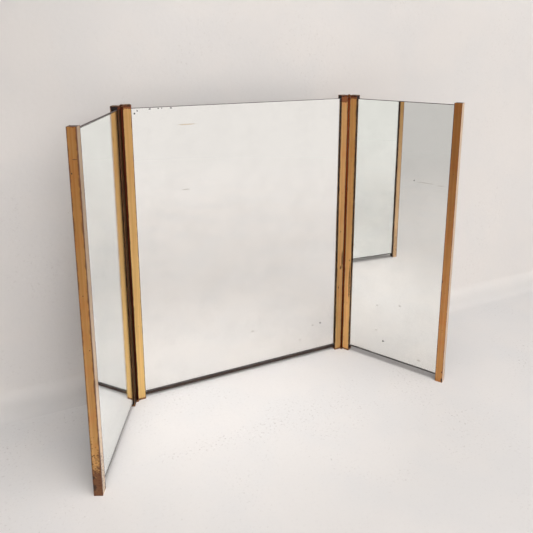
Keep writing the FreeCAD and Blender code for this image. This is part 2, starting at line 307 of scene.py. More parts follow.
def make_rim_group():
    """Lines along the upright corners of a bar. The vector is counted from the middle of its section, Half
    Width and Half Depth are its section's, and Reach is how far a line spreads from its corner."""
    inputs = [("Vector", None), ("Half Width", 0.005), ("Half Depth", 0.005), ("Reach", 0.001)]
    tree, given, result = start_group("rim", inputs, "Mask")
    side, face = depths_under(tree, given["Vector"], given["Half Width"], given["Half Depth"])
    away = calculate(tree, "ADD", side, face)
    uneven = spread(tree, add_noise(tree, given["Vector"], 120.0, 4.0), 0.3, 0.7, 0.5, 1.4)
    reach = times(tree, given["Reach"], uneven)
    near = times(tree, reach, 0.35)
    tree.links.new(spread(tree, away, near, reach, 1.0, 0.0), result)
    return tree


rim = make_rim_group()
print("rim has", len(rim.nodes), "nodes")

# %% [markdown]
# ## The camera
# The mirror is seen from the left and from above, close enough for the near wing to stand much taller than
# the far hinge. The lens is a little wider than normal and its picture is moved down, so that the rails
# stay near upright in the picture.

# %% Camera
PICTURE_PIXELS = 533
FOCAL_PIXELS = 550.0
AXIS_HEIGHT_PIXEL = 159.9
EYE_FROM_CENTRE_GLASS = (-0.2704, -0.6732, 0.4729)
YAW, PITCH = 24.1, 12.0

rail_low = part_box("centre_rail_left")[0]
far_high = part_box("centre_rail_right")[1]
centre_front = Vector(((rail_low.x + far_high.x) / 2, rail_low.y, 0))

lens = bpy.data.cameras.new("camera")
lens.sensor_width = 36.0
lens.lens = FOCAL_PIXELS * lens.sensor_width / PICTURE_PIXELS
lens.shift_y = -(PICTURE_PIXELS / 2 - AXIS_HEIGHT_PIXEL) / PICTURE_PIXELS
camera = bpy.data.objects.new("camera", lens)
bpy.context.collection.objects.link(camera)
looking = Matrix.Rotation(math.radians(-YAW), 4, "Z") @ Matrix.Rotation(math.radians(90 - PITCH), 4, "X")
camera.matrix_world = Matrix.Translation(centre_front + Vector(EYE_FROM_CENTRE_GLASS)) @ looking
bpy.context.scene.camera = camera
bpy.context.scene.view_settings.view_transform = "Standard"
print("camera at", [round(value, 3) for value in camera.matrix_world.translation])

# %% [markdown]
# ## The surface and the wall
# The mirror stands on a pale painted surface with a pale wall close behind it, and a small cove joins the
# two. The wall is a plane, stood up. Its foot edge is drawn forward over the floor, and a bevel of the edge
# between them makes the cove. Floor and wall are separate sheets, so that only the wall lets light pass.

# %% Floor and wall meshes
FLOOR_REACH = 4.0
WALL_BEHIND = 0.050
COVE = 0.030
COVE_STEPS = 24


def link_mesh(shape, name):
    """Turns a bmesh into an object in the scene."""
    mesh = bpy.data.meshes.new(name)
    shape.to_mesh(mesh)
    shape.free()
    thing = bpy.data.objects.new(name, mesh)
    bpy.context.collection.objects.link(thing)
    return thing


floor_shape = bmesh.new()
bmesh.ops.create_grid(floor_shape, x_segments=1, y_segments=1, size=FLOOR_REACH)
floor = link_mesh(floor_shape, "floor")

wall_shape = bmesh.new()
upright = Matrix.Rotation(math.radians(90), 4, "X")
bmesh.ops.create_grid(wall_shape, x_segments=1, y_segments=1, size=FLOOR_REACH, matrix=upright)
wall_y = centre_front.y + WALL_BEHIND
bmesh.ops.translate(wall_shape, verts=wall_shape.verts[:], vec=(0, wall_y, FLOOR_REACH))
foot_edge = min(wall_shape.edges, key=lambda edge: edge.verts[0].co.z + edge.verts[1].co.z)
grown = bmesh.ops.extrude_edge_only(wall_shape, edges=[foot_edge])["geom"]
front_corners = [part for part in grown if isinstance(part, bmesh.types.BMVert)]
bmesh.ops.translate(wall_shape, verts=front_corners, vec=(0, -COVE, 0))
bmesh.ops.bevel(
    wall_shape,
    geom=[edge for edge in wall_shape.edges if len(edge.link_faces) == 2],
    offset=COVE,
    segments=COVE_STEPS,
    profile=0.5,
    affect="EDGES",
    material=-1,
    clamp_overlap=False,
)
bmesh.ops.remove_doubles(wall_shape, verts=wall_shape.verts[:], dist=0.0001)
bmesh.ops.recalc_face_normals(wall_shape, faces=wall_shape.faces[:])
if max(wall_shape.faces, key=lambda face: face.calc_area()).normal.y > 0:
    bmesh.ops.reverse_faces(wall_shape, faces=wall_shape.faces[:])
for face in wall_shape.faces:
    face.smooth = True
wall = link_mesh(wall_shape, "wall")
print("wall stands at y =", round(wall_y, 3), "with", len(wall.data.polygons), "faces")

# %% [markdown]
# ## Painted plaster
# The paint is cloudy and a little dirty: it has rubbed patches, flecks and fine scuffs, the most of them in
# a band on the floor in front of the mirror. Noise at several sizes gives all of these, and unlike a picture
# it has no seams and stays sharp close by.
#
# Far from the mirror, floor and wall fade into a backdrop, painted darker towards the left as painted shade,
# so that no horizon shows in the panes. Only rays that look for a picture see it. The rays that carry light
# don't, so it adds no light of its own.

# %% Tone of the plaster
WALL_LIGHT = (0.676, 0.639, 0.611, 1)
WALL_DARK = (0.641, 0.603, 0.575, 1)
FLOOR_LIGHT = (0.706, 0.669, 0.644, 1)
FLOOR_DARK = (0.671, 0.633, 0.608, 1)
RUBBED = (0.47, 0.42, 0.39, 1)
FLECK = (0.32, 0.23, 0.20, 1)
COOLER = (0.972, 0.982, 0.992)
SCUFF_DARK = (0.30, 0.25, 0.22, 1)
SCUFF_PALE = (0.84, 0.82, 0.80, 1)

# How many of each there are per metre, and how well a mark covers the paint.
CLOUDS, COOL_PATCHES, RUBS = 4.0, 11.0, 26.0
SCUFF_PATCHES, SCUFF_LINES, FLECKS = 7.0, 300.0, 34.0
RUBBED_COVER, DARK_COVER, PALE_COVER, FLECK_COVER = 0.10, 0.50, 0.30, 0.65


def plaster_tone(tree, place, dark, light, scuffs, scuffed=0.0):
    """Cloudy paint with a few flecks of dirt, rubbed patches and fine scuffs. Scuffs is how strong these are,
    and scuffed is a mask of the places that have them in any case."""
    tone = blend_colours(tree, add_noise(tree, place, CLOUDS, 6.0, 0.6), dark, light)
    rubbed = spread(tree, add_noise(tree, place, RUBS, 8.0, 0.75), 0.60, 0.78, 0.0, RUBBED_COVER)
    tone = blend_colours(tree, rubbed, tone, RUBBED)
    cool = spread(tree, add_noise(tree, place, COOL_PATCHES, 5.0), 0.42, 0.60, 0.0, 1.0)
    tone = shade(tree, cool, tone, COOLER)
    where = spread(tree, add_noise(tree, place, SCUFF_PATCHES, 6.0, 0.7), 0.50, 0.64, 0.15, 1.0)
    where = times(tree, calculate(tree, "MAXIMUM", where, scuffed), scuffs)
    fine = add_noise(tree, place, SCUFF_LINES, 4.0, 0.6)
    worn = times(tree, spread(tree, fine, 0.58, 0.72, 0.0, DARK_COVER), where)
    tone = blend_colours(tree, worn, tone, SCUFF_DARK)
    chalk = times(tree, spread(tree, fine, 0.40, 0.28, 0.0, PALE_COVER), where)
    tone = blend_colours(tree, chalk, tone, SCUFF_PALE)
    flecks = use_group(tree, spots, Vector=place, Cells=FLECKS, Share=0.16, Radius=0.045)
    return blend_colours(tree, times(tree, flecks, FLECK_COVER), tone, FLECK)


def start_plaster(name):
    """A brushed, hardly shining surface. Also gives the places on it."""
    material, tree, shader = start_material(name)
    place = coordinates(tree)
    fill(tree, shader, Roughness=0.85, Specular_IOR_Level=0.15)
    add_relief(tree, shader, add_noise(tree, place, 160.0, 4.0), 0.0006, 0.25)
    return material, tree, shader, place


print("wall and floor differ by", round(FLOOR_LIGHT[0] / WALL_LIGHT[0], 3), "in tone")

# %% Backdrop
BACKDROP_LIGHT = (0.88, 0.85, 0.82, 1)
BACKDROP_SHADE = (0.62, 0.60, 0.58, 1)
FADE_START, FADE_END = 0.7, 1.5


def seen_directly(tree):
    """One for a ray from the camera, a mirror or glass, and nought for the rays that carry light."""
    path = tree.nodes.new("ShaderNodeLightPath").outputs
    seen = calculate(tree, "MAXIMUM", path["Is Camera Ray"], path["Is Glossy Ray"])
    return calculate(tree, "MAXIMUM", seen, path["Is Transmission Ray"])


def mix_shaders(tree, share, first, second):
    return fill_in_order(tree, tree.nodes.new("ShaderNodeMixShader"), share, first, second)[0]


def backdrop_colour(tree, place):
    """Painted shade: the backdrop is darker towards the left. The place may be a direction or a point far
    away.
    """
    right = split(tree, vector_math(tree, "NORMALIZE", place)["Vector"])["X"]
    return blend_colours(tree, spread(tree, right, -0.95, -0.2, 0.0, 1.0), BACKDROP_SHADE, BACKDROP_LIGHT)


def fade_far_away(tree, shader, place):
    """Plaster near the mirror, and the colour of the backdrop far away from it."""
    reach = vector_math(tree, "LENGTH", place)["Value"]
    far = spread(tree, reach, FADE_START, FADE_END, 0.0, 1.0)
    far = times(tree, far, seen_directly(tree))
    glow = add_node(tree, "ShaderNodeEmission", Color=backdrop_colour(tree, place), Strength=1.0)
    return mix_shaders(tree, far, shader.outputs[0], glow.outputs[0])


print("plaster fades from", FADE_START, "m to", FADE_END, "m")

# %% [markdown]
# The floor is painted a little paler between the wings: a painted pool of light, standing in for the light
# that the panes throw there. The wall is one-sided and lets light pass: rays of light go through it, and so
# does the view from behind, so the backs of the panels can be seen and are lit too.

# %% Floor and wall finishes
FLOOR_SCUFFS = 1.2
SCUFF_MIDDLE = (-0.020, -0.120, 0)
SCUFF_SIZE = (0.160, 0.018, 1.0)
# Painted light: how much paler the floor is painted in the pool between the wings, and where that pool lies.
FLOOR_PAINTED_LIGHT = (1.15, 1.155, 1.16)
PAINTED_LIGHT_MIDDLE = (-0.06, 0, 0)
PAINTED_LIGHT_START, PAINTED_LIGHT_END = 0.10, 0.30
WALL_SCUFFS = 0.4
# Painted light and shade on the wall: a paler foot, a darker upper left and a darker cove.
WALL_FOOT_PAINTED_LIGHT = (1.10, 1.10, 1.10)
FOOT_LOW, FOOT_HIGH = 0.05, 0.55
WALL_CORNER_PAINTED_SHADE = (0.87, 0.87, 0.87)
CORNER_RIGHT, CORNER_LEFT = -0.08, -0.30
CORNER_LOW, CORNER_HIGH = 0.34, 0.54
COVE_SHADE = 0.16


def paint_floor():
    material, tree, shader, place = start_plaster("floor_plaster")
    band_middle = centre_front + Vector(SCUFF_MIDDLE)
    band = use_group(tree, blot, Vector=place, Place=band_middle, Size=SCUFF_SIZE, Ragged=1.6)
    tone = plaster_tone(tree, place, FLOOR_DARK, FLOOR_LIGHT, FLOOR_SCUFFS, band)
    # Painted light: near the middle of the mirror the floor's colour is made paler, a painted pool of light.
    away = vector_math(tree, "DISTANCE", place, centre_front + Vector(PAINTED_LIGHT_MIDDLE))["Value"]
    near = spread(tree, away, PAINTED_LIGHT_START, PAINTED_LIGHT_END, 1.0, 0.0)
    fill(tree, shader, Base_Color=shade(tree, near, tone, FLOOR_PAINTED_LIGHT))
    fill(tree, tree.nodes["Material Output"], Surface=fade_far_away(tree, shader, place))
    return material


def paint_wall():
    """The wall is painted paler towards its foot, a painted light, and darker towards the upper left, a
    painted shade. Its tone turns into the floor's through the cove, which is painted a little darker half way
    round, a painted shade."""
    material, tree, shader, place = start_plaster("wall_plaster")
    up = split(tree, coordinates(tree, "Normal"))["Z"]
    level = times(tree, up, up)
    steep = one_minus(tree, level)
    dark = blend_colours(tree, level, WALL_DARK, FLOOR_DARK)
    light = blend_colours(tree, level, WALL_LIGHT, FLOOR_LIGHT)
    tone = plaster_tone(tree, place, dark, light, WALL_SCUFFS)
    parts = split(tree, place)
    # Painted light: the wall's colour is made paler towards its foot.
    low = times(tree, spread(tree, parts["Z"], FOOT_LOW, FOOT_HIGH, 1.0, 0.0), steep)
    tone = shade(tree, low, tone, WALL_FOOT_PAINTED_LIGHT)
    # Painted shade: the wall's colour is made darker towards the upper left.
    left = spread(tree, parts["X"], CORNER_RIGHT, CORNER_LEFT, 0.0, 1.0)
    corner = times(tree, left, spread(tree, parts["Z"], CORNER_LOW, CORNER_HIGH, 0.0, 1.0))
    tone = shade(tree, corner, tone, WALL_CORNER_PAINTED_SHADE)
    # Painted shade: the cove is darkened half way round, against the extra lamp light that its bend catches.
    cove_painted_shade = times(tree, times(tree, level, steep), 4.0 * COVE_SHADE)
    fill(tree, shader, Base_Color=blend_colours(tree, cove_painted_shade, tone, (0, 0, 0, 1)))
    behind = tree.nodes.new("ShaderNodeNewGeometry").outputs["Backfacing"]
    shown = times(tree, seen_directly(tree), one_minus(tree, behind))
    clear = tree.nodes.new("ShaderNodeBsdfTransparent").outputs[0]
    surface = mix_shaders(tree, shown, clear, fade_far_away(tree, shader, place))
    fill(tree, tree.nodes["Material Output"], Surface=surface)
    return material


floor.data.materials.append(paint_floor())
wall.data.materials.append(paint_wall())
print("plaster is on the floor and the wall")

# %% [markdown]
# ## Light
# The light is that of a bright room. A weak even sky fills it, and soft lamps hang above, in front and on
# the right, so that the left wing throws a soft shadow on the wall beside it. A low lamp behind lights the
# boards. Mirrors and glass show a pale backdrop instead of the sky, and so does the open space around the
# stage. The brass and the camera don't see the lamps, and the panes don't see the low one in front.

# %% Sky
SKY_LEVEL = 0.06
SKY_COLOUR = (1.0, 0.99, 0.98, 1)

world = bpy.data.worlds.new("sky")
bpy.context.scene.world = world
world.use_nodes = True
air = world.node_tree
air.nodes.clear()
sky = add_node(air, "ShaderNodeBackground", Color=SKY_COLOUR, Strength=SKY_LEVEL)
shown = backdrop_colour(air, coordinates(air, "Generated"))
backdrop = add_node(air, "ShaderNodeBackground", Color=shown, Strength=1.0)
room = mix_shaders(air, seen_directly(air), sky.outputs[0], backdrop.outputs[0])
add_node(air, "ShaderNodeOutputWorld", Surface=room)
print("sky level", SKY_LEVEL)

# %% Lamps
LAMPS = {
    "top": {"power": 60.0, "size": 1.6, "place": (-0.178, -1.010, 2.919)},
    "front": {"power": 30.0, "size": 1.6, "place": (-0.490, -2.776, 1.126), "in_panes": False},
    "right": {"power": 47.0, "size": 3.0, "place": (1.500, -1.500, 2.221)},
    "back": {"power": 14.0, "size": 1.4, "place": (0.4, 2.5, 0.9)},
}
LIT_POINT = Vector((0, 0, 0.15))


def hang_lamp(name, power, size, place, in_panes=True):
    """A square lamp that faces the mirror. A low one would show as a white patch in the panes."""
    glow = bpy.data.lights.new(name, "AREA")
    glow.energy = power
    glow.size = size
    lamp = bpy.data.objects.new(name, glow)
    bpy.context.collection.objects.link(lamp)
    lamp.visible_camera = False
    lamp.visible_glossy = False
    lamp.visible_transmission = in_panes
    lamp.location = place
    lamp.rotation_euler = (LIT_POINT - Vector(place)).to_track_quat("-Z", "Y").to_euler()
    print(name, "lamp of", power, "W")


for name, values in LAMPS.items():
    hang_lamp(name, **values)

# %% [markdown]
# ## Black packing
# Between the brass and the glass lie strips, blocks and packers of black rubber. Only their edges show, as
# the fine black lines beside the glass. A soft mottle keeps them from being one flat black.

# %% Rubber
RUBBER_DARK = (0.006, 0.005, 0.005, 1)
RUBBER_LIGHT = (0.022, 0.018, 0.017, 1)


def make_rubber():
    material, tree, shader = start_material("black_rubber")
    mottle = add_noise(tree, coordinates(tree), 420.0, 3.0)
    tone = blend_colours(tree, mottle, RUBBER_DARK, RUBBER_LIGHT)
    dull = spread(tree, mottle, 0.3, 0.7, 0.6, 0.85)
    fill(tree, shader, Base_Color=tone, Roughness=dull, Specular_IOR_Level=0.3)
    return material


def dress(material, *names):
    """Gives each named solid this material alone."""
    for name in names:
        slots = nodes[name].data.materials
        slots.clear()
        slots.append(material)


black = [name for name in nodes if "bedding" in name or "block" in name or "packer" in name]
dress(make_rubber(), *black)
print(len(black), "black solids")

# %% [markdown]
# ## Backing boards
# Each pane lies on a thin plywood board, stained dark brown. Its grain runs upright, and its edge shows as a
# dark line behind the edge of the glass. A picture of wood would have to be fitted to each board. The grain
# group follows the panel's own directions instead, once for the broad figure and once for the fine pores.

# %% Stained plywood
BOARD_LIGHT = (0.080, 0.045, 0.030, 1)
BOARD_DARK = (0.024, 0.014, 0.011, 1)


def make_board(name):
    material, tree, shader = start_material(name + "_board")
    place = panel_coordinates(tree, panels[name])
    figure = use_group(tree, grain, Vector=place, Fineness=160.0, Stretch=14.0)
    pores = use_group(tree, grain, Vector=place, Fineness=1400.0, Stretch=30.0)
    tone = blend_colours(tree, figure, BOARD_DARK, BOARD_LIGHT)
    tone = blend_colours(tree, times(tree, pores, 0.45), tone, BOARD_DARK)
    fill(tree, shader, Base_Color=tone, Roughness=spread(tree, figure, 0.0, 1.0, 0.5, 0.72))
    add_relief(tree, shader, pores, 0.0003, 0.5)
    return material


for name in panels:
    dress(make_board(name), name + "_backing")
print("three boards")

# %% [markdown]
# ## Silvered glass
# A mirror is clear glass with a coat of silver behind it. The pane's front and edges are glass here, and its
# back face alone is silver. So the picture in it lies a glass thickness deep, and the dark inside of the
# rail is mirrored beside each rail as a fine black line. The three panes have slightly different tints. The
# ground edges above and below are painted dark against damp.

# %% Glass
TINTS = {
    "centre": ((0.968, 0.968, 0.970, 1), (0.984, 0.986, 0.984, 1)),
    "left": ((0.958, 0.988, 0.978, 1), (0.980, 1.0, 0.998, 1)),
    "right": ((0.950, 0.958, 0.950, 1), (0.974, 0.982, 0.974, 1)),
}
PAINT_DARK = (0.030, 0.022, 0.020, 1)
PAINT_WORN = (0.085, 0.060, 0.052, 1)


def make_glass(name):
    material, tree, shader = start_material(name + "_glass")
    film = add_noise(tree, panel_coordinates(tree, panels[name]), 9.0, 5.0)
    tint = blend_colours(tree, film, *TINTS[name])
    fill(tree, shader, Base_Color=tint, Transmission_Weight=1.0, IOR=1.52, Roughness=0.0)
    return material


def make_edge_paint():
    """The dark paint on the ground edges of the panes."""
    material, tree, shader = start_material("edge_paint")
    patches = spread(tree, add_noise(tree, coordinates(tree), 260.0, 4.0), 0.35, 0.7, 0.0, 1.0)
    tone = blend_colours(tree, patches, PAINT_DARK, PAINT_WORN)
    fill(tree, shader, Base_Color=tone, Roughness=spread(tree, patches, 0.0, 1.0, 0.5, 0.7))
    return material


edge_paint = make_edge_paint()
print("glass has", len(TINTS), "tints")

# %% [markdown]
# ## Old silver
# Silver ages from the edges inwards: damp creeps behind it and leaves a dark line along the top of a pane and
# black specks below it, and a scratch on the back shows as a tan line. The specks come from the spots group,
# more of them near the edge of the pane, and the few larger marks are blots, each at its own place. They
# are all colours of the one silver, so the pane keeps its shape and its picture stays unbroken.

# %% Marks in the silver
SILVER = {"centre": (0.945, 0.937, 0.920), "left": (0.980, 0.985, 0.980), "right": (0.930, 0.925, 0.910)}
TOP_LINE = {"centre": 0.0002, "left": 0.0019, "right": 0.0010}
SPECK = (0.035, 0.022, 0.018, 1)
FADED = (0.70, 0.66, 0.61, 1)
SCRATCH = (0.76, 0.64, 0.51, 1)
DIMMED = 0.93
EDGE_SPECKS, INNER_SPECKS = 0.16, 0.035
SPECKS_NEAR, SPECKS_FAR = 0.004, 0.030

# A mark is a colour, its place across the pane and its height, and half its width and height.
SILVER_MARKS = {
    "centre": [
        (SPECK, -0.1445, 0.3885, 0.0012, 0.0012),
        (SPECK, -0.1410, 0.3917, 0.0009, 0.0013),
        (SPECK, -0.1255, 0.3932, 0.0016, 0.0009),
        (SPECK, -0.1150, 0.3936, 0.0013, 0.0008),
        (SPECK, -0.1105, 0.3936, 0.0009, 0.0008),
        (SPECK, -0.0990, 0.3932, 0.0014, 0.0010),
        (SCRATCH, -0.0790, 0.3715, 0.0130, 0.0009),
        (FADED, -0.0830, 0.2860, 0.0060, 0.0008),
        (SPECK, 0.1228, 0.0506, 0.0013, 0.0012),
        (FADED, 0.1098, 0.0495, 0.0018, 0.0012),
        (FADED, 0.0880, 0.0300, 0.0014, 0.0012),
        (FADED, 0.0100, 0.0620, 0.0030, 0.0011),
    ],
    "left": [
        (FADED, 0.0469, 0.3636, 0.0028, 0.0040),
        (FADED, 0.0300, 0.0420, 0.0020, 0.0012),
    ],
    "right": [
        (SPECK, -0.0134, 0.0331, 0.0018, 0.0014),
        (FADED, 0.0425, 0.0205, 0.0030, 0.0014),
        (FADED, -0.0251, 0.0880, 0.0016, 0.0014),
        (FADED, 0.0100, 0.0970, 0.0022, 0.0012),
        (FADED, -0.0250, 0.0480, 0.0014, 0.0012),
        (SPECK, 0.0206, 0.2876, 0.0010, 0.0010),
        (FADED, 0.0370, 0.2862, 0.0130, 0.0005),
        (FADED, 0.0580, 0.2850, 0.0060, 0.0004),
    ],
}
print(sum(len(marks) for marks in SILVER_MARKS.values()), "marks in the silver")

# %% Silver
def edge_distances(tree, place, name):
    """How far a point lies from the nearest upright edge of its pane, and how far below the top."""
    low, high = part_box(name + "_pane")
    parts = split(tree, place)
    side = calculate(tree, "SUBTRACT", (high - low).xy.length / 2, calculate(tree, "ABSOLUTE", parts["X"]))
    return side, calculate(tree, "SUBTRACT", high.z, parts["Z"])


def make_silver(name):
    material, tree, shader = start_material(name + "_silver")
    place = panel_coordinates(tree, panels[name], panels[name]["middle"])
    side, below_top = edge_distances(tree, place, name)
    edge = calculate(tree, "MINIMUM", side, below_top)
    share = spread(tree, edge, SPECKS_NEAR, SPECKS_FAR, EDGE_SPECKS, INNER_SPECKS)
    specks = use_group(tree, spots, Vector=place, Cells=95.0, Share=share, Radius=0.10)
    haze = spread(tree, add_noise(tree, place, 14.0, 9.0, 0.7), 0.45, 0.75, 0.0, 0.8)
    dim = [part * DIMMED for part in SILVER[name]]
    tone = blend_colours(tree, haze, (*SILVER[name], 1), (*dim, 1))
    tone = blend_colours(tree, times(tree, specks, 0.8), tone, FADED)
    creep = spread(tree, below_top, TOP_LINE[name] * 0.8, TOP_LINE[name], 0.9, 0.0)
    tone = blend_colours(tree, creep, tone, SPECK)
    for colour, across, height, half_width, half_height in SILVER_MARKS[name]:
        where = {"Place": (across, 0.0, height), "Size": (half_width, 1.0, half_height)}
        mark = use_group(tree, blot, Vector=place, Ragged=1.0, **where)
        tone = blend_colours(tree, times(tree, mark, 0.85), tone, colour)
    fill(tree, shader, Base_Color=tone, Metallic=1.0, Roughness=0.0)
    return material


def finish_pane(name):
    """Glass in front, silver on the faces that look backwards, and paint on the top and bottom edges."""
    dress(make_glass(name), name + "_pane")
    pane = nodes[name + "_pane"].data
    pane.materials.append(make_silver(name))
    pane.materials.append(edge_paint)
    coated = 0
    for face in pane.polygons:
        if face.normal.dot(panels[name]["back"]) > 0.99:
            face.material_index = 1
            coated += 1
        elif abs(face.normal.z) > 0.5:
            face.material_index = 2
    return coated


for name in panels:
    print(name, "pane has", finish_pane(name), "silvered faces")

# %% [markdown]
# ## Aged brass
# The rails are drawn brass under an old lacquer. The metal shows upright streaks and softer bands, small
# dark spots where the lacquer has failed, a dark red-brown line along each corner, and brown stains where
# hands and damp have been, at the foot and round the hinges. The insides of the rails are black and their
# cut ends brown. Each rail's grain and marks are placed from the middle of its section.

# %% The section of a rail
def section_of(name):
    """A rail's panel, the middle of its section at the floor, and half its width and depth."""
    panel = panels[name.split("_")[0]]
    corners = [corner.co for corner in nodes[name].data.vertices]
    wide = [corner.dot(panel["across"]) for corner in corners]
    deep = [corner.dot(panel["back"]) for corner in corners]
    middle = panel["across"] * (min(wide) + max(wide)) / 2 + panel["back"] * (min(deep) + max(deep)) / 2
    return panel, middle, (max(wide) - min(wide)) / 2, (max(deep) - min(deep)) / 2


section = section_of("left_rail_outer")
print("a rail is", round(section[2] * 2000, 2), "mm wide and", round(section[3] * 2000, 2), "mm deep")

# %% [markdown]
# Each rail has a colour for its top and one for its foot. These tones are partly the brass's own and partly
# painted light and shade, set by how each rail is lit, and a paler foot is a painted reflection of the bright
# floor. Some have a front or a side of their own tone, painted light and shade as well, and gloss says how
# much more lacquer that face has, or how much less. The other values are how red it is, how far the lines at
# its corners reach, and how far the stains and specks come up from its foot or down from its top. A mark is a
# colour, then its place across, in depth and in height, and half its size in the same three directions.

# %% Values of each rail
STAIN_BROWN = (0.105, 0.034, 0.012, 1)
SPOT_BLACK = (0.030, 0.014, 0.008, 1)
RAILS = {
    "left_rail_outer": {
        "top": (0.450, 0.211, 0.056, 1),
        "foot": (0.649, 0.352, 0.116, 1),
        "red": 0.45,
        "rim_reach": 0.0018,
        "foot_stain": 0.040,
        "foot_specks": 0.090,
        # Painted reflection: the front of this rail is painted pale towards its foot, where it mirrors the
        # bright floor.
        "front": ((0.456, 0.250, 0.074, 1), (0.800, 0.540, 0.300, 1)),
        "marks": [
            (SPOT_BLACK, -0.005, 0.0025, 0.3535, 0.002, 0.0007, 0.0011),
            (STAIN_BROWN, -0.005, -0.0010, 0.3670, 0.002, 0.0028, 0.0005),
            (SPOT_BLACK, -0.005, 0.0038, 0.0225, 0.002, 0.0024, 0.0020),
            (SPOT_BLACK, -0.005, 0.0036, 0.0105, 0.002, 0.0024, 0.0042),
            (STAIN_BROWN, -0.005, -0.0022, 0.1710, 0.002, 0.0008, 0.0008),
            (STAIN_BROWN, -0.005, 0.0005, 0.2300, 0.002, 0.0007, 0.0008),
        ],
    },
    "left_rail_inner": {
        "top": (0.450, 0.211, 0.056, 1),
        "foot": (0.600, 0.330, 0.110, 1),
        "red": 0.3,
        # Painted shade: the front of this rail is painted nearly black, standing in for its reflection of the
        # dark seam.
        "front": ((0.006, 0.002, 0.001, 1), (0.010, 0.004, 0.002, 1)),
        "front_depth": 0.0014,
        "gloss": -0.4,
        "top_stain": 0.002,
    },
    "centre_rail_left": {
        "top": (0.617, 0.347, 0.117, 1),
        "foot": (0.894, 0.588, 0.218, 1),
        "red": 0.15,
        "top_stain": 0.0028,
        "spot_share": 0.08,
    },
    "centre_rail_right": {
        "top": (0.685, 0.374, 0.137, 1),
        "foot": (0.689, 0.420, 0.155, 1),
        "red": 0.4,
        "top_stain": 0.008,
        "marks": [
            (SPOT_BLACK, -0.0010, -0.005, 0.1950, 0.0008, 0.002, 0.0010),
            (STAIN_BROWN, 0.0032, -0.005, 0.1500, 0.0014, 0.002, 0.0160),
            (STAIN_BROWN, 0.0010, -0.005, 0.1370, 0.0018, 0.002, 0.0034),
            (STAIN_BROWN, -0.0020, -0.005, 0.1050, 0.0010, 0.002, 0.0022),
        ],
    },
    "right_rail_inner": {
        "top": (0.637, 0.309, 0.087, 1),
        "foot": (0.840, 0.480, 0.175, 1),
        "red": 0.3,
        "top_stain": 0.003,
        "spot_share": 0.24,
        "marks": [
            (STAIN_BROWN, 0.0030, -0.005, 0.1150, 0.0012, 0.002, 0.0300),
            (SPOT_BLACK, 0.0020, -0.005, 0.1500, 0.0008, 0.002, 0.0014),
        ],
    },
    "right_rail_outer": {
        "top": (0.357, 0.144, 0.035, 1),
        "foot": (0.570, 0.275, 0.088, 1),
        "red": 0.5,
        # Painted light: the side of this rail is painted much paler than the rest of it.
        "side": (0.800, 0.520, 0.290, 1),
        "spot_share": 0.26,
        "marks": [
            (SPOT_BLACK, -0.0050, -0.005, 0.1520, 0.0014, 0.002, 0.0042),
            (SPOT_BLACK, 0.0042, -0.005, 0.0040, 0.0014, 0.002, 0.0040),
            (STAIN_BROWN, 0.0036, -0.005, 0.0160, 0.0009, 0.002, 0.0016),
        ],
    },
}
print(sum(len(values.get("marks", ())) for values in RAILS.values()), "marks on the rails")

# %% Colour of brass
PALE = (1.25, 1.34, 1.55)
BROWN = (0.62, 0.52, 0.42)
RED = (0.98, 0.66, 0.56)


def brass_colour(tree, place, top, foot, red):
    """The rail's own gold with pale bands, brown streaks and patches of red. Also gives the streaks alone."""
    height = split(tree, place)["Z"]
    bands = use_group(tree, grain, Vector=place, Fineness=300.0, Stretch=90.0)
    streaks = use_group(tree, grain, Vector=place, Fineness=800.0, Stretch=70.0)
    # Painted light: the colour runs from the foot's to the top's, and a paler foot is a painted reflection of
    # the floor.
    colour = blend_colours(tree, spread(tree, height, 0.04, 0.32, 0.0, 1.0), foot, top)
    colour = shade(tree, spread(tree, bands, 0.45, 1.0, 0.0, 0.9), colour, PALE)
    colour = shade(tree, spread(tree, bands, 0.0, 0.30, 0.55, 0.0), colour, BROWN)
    colour = shade(tree, spread(tree, streaks, 0.0, 0.40, 0.40, 0.0), colour, BROWN)
    patches = spread(tree, add_noise(tree, place, 38.0, 5.0), 0.48, 0.68, 0.0, red)
    return shade(tree, patches, colour, RED), height, streaks


print("pale bands are", PALE, "times the rail's own gold")

# %% [markdown]
# Everything else lies over that gold, one layer after another. Each layer is a mask, a colour and how well
# it covers the metal. Where a mask says that the brass is worn, the surface is less metallic, duller and has
# lost lacquer. The lacquer is the shader's coat.

# %% Masks on a rail
EDGE_START, EDGE_END = 0.0001, 0.0004
INSIDE_START, INSIDE_END = 0.0005, 0.0008


def lay(tree, colour, mask, cover, over):
    """A layer's colour over the metal."""
    return blend_colours(tree, times(tree, mask, cover), colour, over)


def end_stains(tree, place, height, foot_end, head_start):
    """The ragged stains at the foot and at the head of a rail."""
    below = calculate(tree, "SUBTRACT", foot_end, height)
    foot = use_group(tree, stain, Vector=place, Depth=below, Ragged=0.020, Patches=170.0, Soft=0.014)
    above = calculate(tree, "SUBTRACT", height, head_start)
    head = use_group(tree, stain, Vector=place, Depth=above, Ragged=0.0022, Patches=260.0, Soft=0.0008)
    return foot, head


def hidden_faces(tree, place, half_width, half_depth):
    """The inside of a rail and its cut ends."""
    depth = calculate(tree, "MINIMUM", *depths_under(tree, place, half_width, half_depth))
    up = calculate(tree, "ABSOLUTE", split(tree, coordinates(tree, "Normal"))["Z"])
    inside = spread(tree, depth, INSIDE_START, INSIDE_END, 0.0, 1.0)
    return inside, spread(tree, up, 0.5, 0.7, 0.0, 1.0)


def strongest(tree, first, *masks):
    for mask in masks:
        first = calculate(tree, "MAXIMUM", first, mask)
    return first


print("a rail is black from", INSIDE_START * 1000, "mm under its faces")

